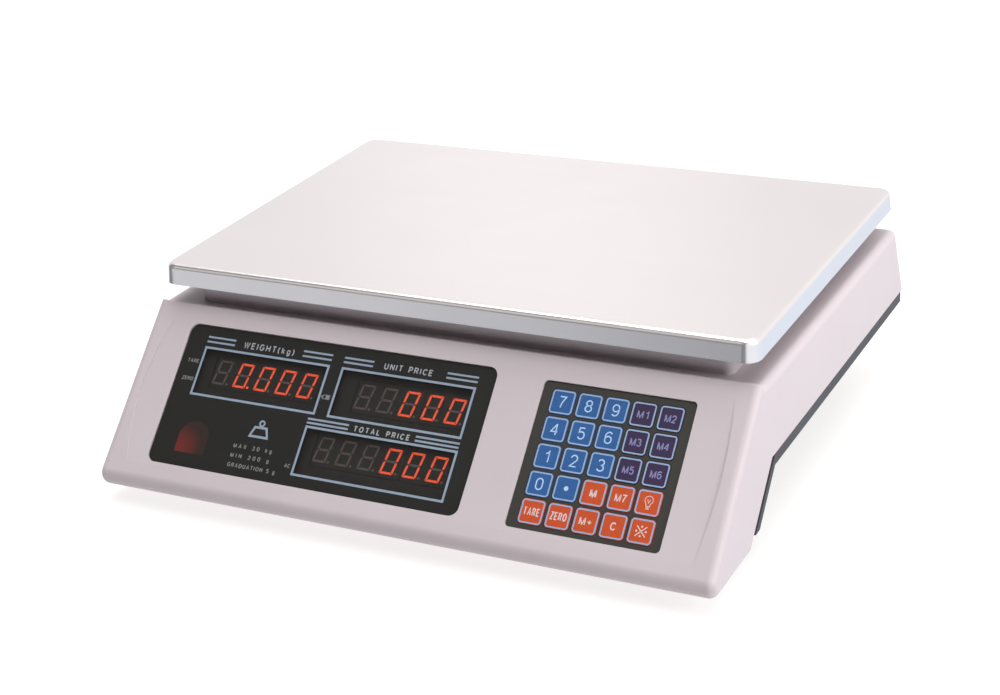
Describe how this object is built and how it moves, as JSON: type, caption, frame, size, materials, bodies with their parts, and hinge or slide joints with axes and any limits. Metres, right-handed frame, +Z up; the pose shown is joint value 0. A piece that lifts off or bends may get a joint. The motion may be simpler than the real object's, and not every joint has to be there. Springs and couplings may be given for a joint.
{
  "type": "retail price scale",
  "caption": "Low price-computing counter scale with a lift-off steel tray, a sloping console with three LED readings and a square colour-coded keypad, and levelling feet.",
  "frame": {"origin": "under the middle of the tray's width and within 2.2 mm of the middle of the overall box, on the surface that the feet stand on", "axes": "+X to the operator's right, +Y from the operator towards the customer, +Z up"},
  "size_m": [0.3531, 0.3159, 0.112],
  "materials": {
    "white_shell": "white moulded plastic with a slight sheen",
    "grey_shell": "dark grey moulded plastic, finely grained",
    "stainless": "satin stainless sheet with polished lip",
    "cast_aluminium": "cast or milled, satin",
    "plated_steel": "zinc plated",
    "rubber": "black rubber",
    "smoked_panel": "gloss black panel, smoked clear over the readings",
    "led_module": "display module, dark face with lit segments",
    "circuit_board": "green circuit board",
    "red_lamp": "red indicator lamp",
    "keypad_sheet": "dark satin overlay",
    "key_blue": "blue printed key, satin",
    "key_purple": "dark purple printed key, satin",
    "key_orange": "orange printed key, satin",
    "battery_case": "dark battery case",
    "transformer_iron": "varnished laminations",
    "black_plastic": "black moulded plastic",
    "cable_jacket": "grey cable jacket"
  },
  "bodies": {
    "base": {"upper_housing": "white_shell", "base_pan": "grey_shell", "battery_cover": "grey_shell", "tray_support": "cast_aluminium", "tray_pads": "rubber", "load_cell": "cast_aluminium", "cell_plates": "plated_steel", "cell_bolts": "plated_steel", "front_window": "smoked_panel", "rear_window": "smoked_panel", "weight_display": "led_module", "unit_price_display": "led_module", "total_price_display": "led_module", "customer_displays": "led_module", "display_boards": "circuit_board", "keypad_board": "circuit_board", "main_board": "circuit_board", "indicator_lamp": "red_lamp", "keypad_overlay": "keypad_sheet", "battery": "battery_case", "transformer": "transformer_iron", "power_inlet": "black_plastic", "power_switch": "black_plastic", "internal_cables": "cable_jacket", "screws": "plated_steel"},
    "tray": {"tray": "stainless"},
    "power_rocker": {"power_rocker": "black_plastic"},
    "key_7": {"key_7": "key_blue"},
    "key_8": {"key_8": "key_blue"},
    "key_9": {"key_9": "key_blue"},
    "key_4": {"key_4": "key_blue"},
    "key_5": {"key_5": "key_blue"},
    "key_6": {"key_6": "key_blue"},
    "key_1": {"key_1": "key_blue"},
    "key_2": {"key_2": "key_blue"},
    "key_3": {"key_3": "key_blue"},
    "key_0": {"key_0": "key_blue"},
    "key_point": {"key_point": "key_blue"},
    "key_m1": {"key_m1": "key_purple"},
    "key_m2": {"key_m2": "key_purple"},
    "key_m3": {"key_m3": "key_purple"},
    "key_m4": {"key_m4": "key_purple"},
    "key_m5": {"key_m5": "key_purple"},
    "key_m6": {"key_m6": "key_purple"},
    "key_m": {"key_m": "key_orange"},
    "key_m7": {"key_m7": "key_orange"},
    "key_light": {"key_light": "key_orange"},
    "key_tare": {"key_tare": "key_orange"},
    "key_zero": {"key_zero": "key_orange"},
    "key_m_plus": {"key_m_plus": "key_orange"},
    "key_clear": {"key_clear": "key_orange"},
    "key_star": {"key_star": "key_orange"},
    "foot_pad_1": {"foot_pad_1": "rubber"},
    "foot_screw_1": {"foot_screw_1": "plated_steel"},
    "foot_pad_2": {"foot_pad_2": "rubber"},
    "foot_screw_2": {"foot_screw_2": "plated_steel"},
    "foot_pad_3": {"foot_pad_3": "rubber"},
    "foot_screw_3": {"foot_screw_3": "plated_steel"},
    "foot_pad_4": {"foot_pad_4": "rubber"},
    "foot_screw_4": {"foot_screw_4": "plated_steel"}
  },
  "joints": [
    {"name": "tray_lift", "type": "slide", "parent": "base", "child": "tray", "axis": [0, 0, 1], "range_m": [0, 0.06]},
    {"name": "power_rocker_turn", "type": "hinge", "parent": "base", "child": "power_rocker", "pos_m": [-0.17228, 0.058, 0.06595], "axis": [-0.0127, 0, -0.9999], "range_deg": [0, 24]},
    {"name": "key_7_press", "type": "slide", "parent": "base", "child": "key_7", "axis": [0, 0.7071, -0.7071], "range_m": [0, 0.0005], "stiffness_N_per_m": 2500},
    {"name": "key_8_press", "type": "slide", "parent": "base", "child": "key_8", "axis": [0, 0.7071, -0.7071], "range_m": [0, 0.0005], "stiffness_N_per_m": 2500},
    {"name": "key_9_press", "type": "slide", "parent": "base", "child": "key_9", "axis": [0, 0.7071, -0.7071], "range_m": [0, 0.0005], "stiffness_N_per_m": 2500},
    {"name": "key_4_press", "type": "slide", "parent": "base", "child": "key_4", "axis": [0, 0.7071, -0.7071], "range_m": [0, 0.0005], "stiffness_N_per_m": 2500},
    {"name": "key_5_press", "type": "slide", "parent": "base", "child": "key_5", "axis": [0, 0.7071, -0.7071], "range_m": [0, 0.0005], "stiffness_N_per_m": 2500},
    {"name": "key_6_press", "type": "slide", "parent": "base", "child": "key_6", "axis": [0, 0.7071, -0.7071], "range_m": [0, 0.0005], "stiffness_N_per_m": 2500},
    {"name": "key_1_press", "type": "slide", "parent": "base", "child": "key_1", "axis": [0, 0.7071, -0.7071], "range_m": [0, 0.0005], "stiffness_N_per_m": 2500},
    {"name": "key_2_press", "type": "slide", "parent": "base", "child": "key_2", "axis": [0, 0.7071, -0.7071], "range_m": [0, 0.0005], "stiffness_N_per_m": 2500},
    {"name": "key_3_press", "type": "slide", "parent": "base", "child": "key_3", "axis": [0, 0.7071, -0.7071], "range_m": [0, 0.0005], "stiffness_N_per_m": 2500},
    {"name": "key_0_press", "type": "slide", "parent": "base", "child": "key_0", "axis": [0, 0.7071, -0.7071], "range_m": [0, 0.0005], "stiffness_N_per_m": 2500},
    {"name": "key_point_press", "type": "slide", "parent": "base", "child": "key_point", "axis": [0, 0.7071, -0.7071], "range_m": [0, 0.0005], "stiffness_N_per_m": 2500},
    {"name": "key_m1_press", "type": "slide", "parent": "base", "child": "key_m1", "axis": [0, 0.7071, -0.7071], "range_m": [0, 0.0005], "stiffness_N_per_m": 2500},
    {"name": "key_m2_press", "type": "slide", "parent": "base", "child": "key_m2", "axis": [0, 0.7071, -0.7071], "range_m": [0, 0.0005], "stiffness_N_per_m": 2500},
    {"name": "key_m3_press", "type": "slide", "parent": "base", "child": "key_m3", "axis": [0, 0.7071, -0.7071], "range_m": [0, 0.0005], "stiffness_N_per_m": 2500},
    {"name": "key_m4_press", "type": "slide", "parent": "base", "child": "key_m4", "axis": [0, 0.7071, -0.7071], "range_m": [0, 0.0005], "stiffness_N_per_m": 2500},
    {"name": "key_m5_press", "type": "slide", "parent": "base", "child": "key_m5", "axis": [0, 0.7071, -0.7071], "range_m": [0, 0.0005], "stiffness_N_per_m": 2500},
    {"name": "key_m6_press", "type": "slide", "parent": "base", "child": "key_m6", "axis": [0, 0.7071, -0.7071], "range_m": [0, 0.0005], "stiffness_N_per_m": 2500},
    {"name": "key_m_press", "type": "slide", "parent": "base", "child": "key_m", "axis": [0, 0.7071, -0.7071], "range_m": [0, 0.0005], "stiffness_N_per_m": 2500},
    {"name": "key_m7_press", "type": "slide", "parent": "base", "child": "key_m7", "axis": [0, 0.7071, -0.7071], "range_m": [0, 0.0005], "stiffness_N_per_m": 2500},
    {"name": "key_light_press", "type": "slide", "parent": "base", "child": "key_light", "axis": [0, 0.7071, -0.7071], "range_m": [0, 0.0005], "stiffness_N_per_m": 2500},
    {"name": "key_tare_press", "type": "slide", "parent": "base", "child": "key_tare", "axis": [0, 0.7071, -0.7071], "range_m": [0, 0.0005], "stiffness_N_per_m": 2500},
    {"name": "key_zero_press", "type": "slide", "parent": "base", "child": "key_zero", "axis": [0, 0.7071, -0.7071], "range_m": [0, 0.0005], "stiffness_N_per_m": 2500},
    {"name": "key_m_plus_press", "type": "slide", "parent": "base", "child": "key_m_plus", "axis": [0, 0.7071, -0.7071], "range_m": [0, 0.0005], "stiffness_N_per_m": 2500},
    {"name": "key_clear_press", "type": "slide", "parent": "base", "child": "key_clear", "axis": [0, 0.7071, -0.7071], "range_m": [0, 0.0005], "stiffness_N_per_m": 2500},
    {"name": "key_star_press", "type": "slide", "parent": "base", "child": "key_star", "axis": [0, 0.7071, -0.7071], "range_m": [0, 0.0005], "stiffness_N_per_m": 2500},
    {"name": "foot_height_1", "type": "slide", "parent": "base", "child": "foot_pad_1", "axis": [0, 0, -1], "range_m": [0, 0.0075]},
    {"name": "foot_turn_1", "type": "hinge", "parent": "foot_pad_1", "child": "foot_screw_1", "pos_m": [-0.128, -0.062, 0.02], "axis": [0, 0, -1], "range_deg": [0, 2180]},
    {"name": "foot_height_2", "type": "slide", "parent": "base", "child": "foot_pad_2", "axis": [0, 0, -1], "range_m": [0, 0.0075]},
    {"name": "foot_turn_2", "type": "hinge", "parent": "foot_pad_2", "child": "foot_screw_2", "pos_m": [0.128, -0.062, 0.02], "axis": [0, 0, -1], "range_deg": [0, 2180]},
    {"name": "foot_height_3", "type": "slide", "parent": "base", "child": "foot_pad_3", "axis": [0, 0, -1], "range_m": [0, 0.0075]},
    {"name": "foot_turn_3", "type": "hinge", "parent": "foot_pad_3", "child": "foot_screw_3", "pos_m": [-0.128, 0.118, 0.02], "axis": [0, 0, -1], "range_deg": [0, 2180]},
    {"name": "foot_height_4", "type": "slide", "parent": "base", "child": "foot_pad_4", "axis": [0, 0, -1], "range_m": [0, 0.0075]},
    {"name": "foot_turn_4", "type": "hinge", "parent": "foot_pad_4", "child": "foot_screw_4", "pos_m": [0.128, 0.118, 0.02], "axis": [0, 0, -1], "range_deg": [0, 2180]}
  ],
  "couplings": [
    {"joint": "foot_turn_1", "follows": "foot_height_1", "rad_per_m": 5026.5},
    {"joint": "foot_turn_2", "follows": "foot_height_2", "rad_per_m": 5026.5},
    {"joint": "foot_turn_3", "follows": "foot_height_3", "rad_per_m": 5026.5},
    {"joint": "foot_turn_4", "follows": "foot_height_4", "rad_per_m": 5026.5}
  ]
}
